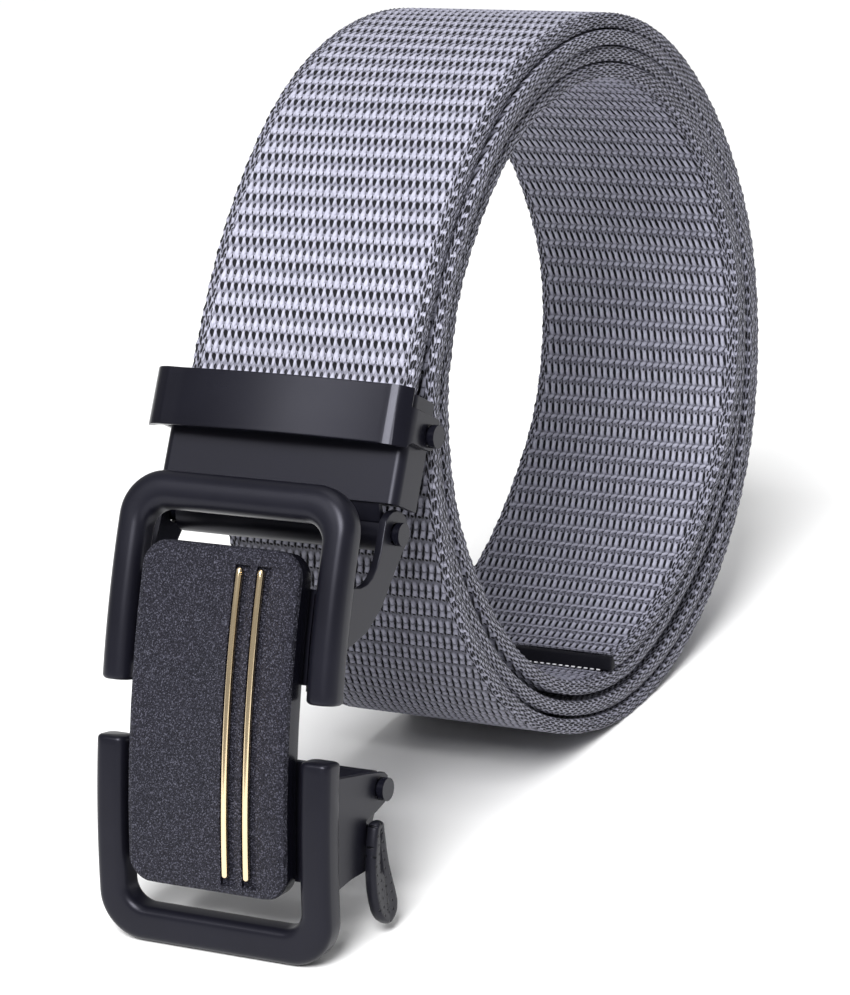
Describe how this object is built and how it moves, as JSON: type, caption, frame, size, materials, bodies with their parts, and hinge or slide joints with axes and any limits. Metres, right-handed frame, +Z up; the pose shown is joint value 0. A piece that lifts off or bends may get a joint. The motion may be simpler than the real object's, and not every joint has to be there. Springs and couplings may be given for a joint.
{
  "type": "nylon belt",
  "caption": "Rolled nylon webbing belt standing on its coil, with a black automatic buckle on a hinged clamp, a face plate with bright bars and a release lever",
  "frame": {"origin": "on the surface it stands on, under the middle of the belt's overall box", "axes": "+X is across the webbing, to the right as the buckle is faced; +Y is to the back, away from the buckle; +Z is up"},
  "size_m": [0.0422, 0.1506, 0.1087],
  "materials": {
    "webbing": "matte woven",
    "seal": "melted edge",
    "clamp": "satin black",
    "clip": "satin black",
    "pins": "gloss black",
    "frame": "satin black",
    "lever": "satin black",
    "plate": "fine grain, dark",
    "gold": "polished, pale"
  },
  "bodies": {
    "belt": {"webbing_strap": "webbing", "tail_seal": "seal", "clamp_body": "clamp", "clip_rivet_left": "pins", "clip_rivet_right": "pins"},
    "clip": {"clamp_clip": "clip"},
    "buckle": {"buckle_frame": "frame", "face_plate": "plate", "gold_bar_1": "gold", "gold_bar_2": "gold", "hinge_pin": "pins", "lock_pin": "pins"},
    "lever": {"release_lever": "lever"}
  },
  "joints": [
    {"name": "clip_hinge", "type": "hinge", "parent": "belt", "child": "clip", "pos_m": [0, -0.03995, 0.06416], "axis": [-1, 0, 0], "range_deg": [0, 22]},
    {"name": "buckle_hinge", "type": "hinge", "parent": "belt", "child": "buckle", "pos_m": [0, -0.04713, 0.05248], "axis": [-1, 0, 0], "range_deg": [-18, 26]},
    {"name": "lever_hinge", "type": "hinge", "parent": "buckle", "child": "lever", "pos_m": [0, -0.05683, 0.01951], "axis": [1, 0, 0], "range_deg": [0, 28], "stiffness_Nm_per_rad": 0.03, "springref_deg": -22.92}
  ]
}
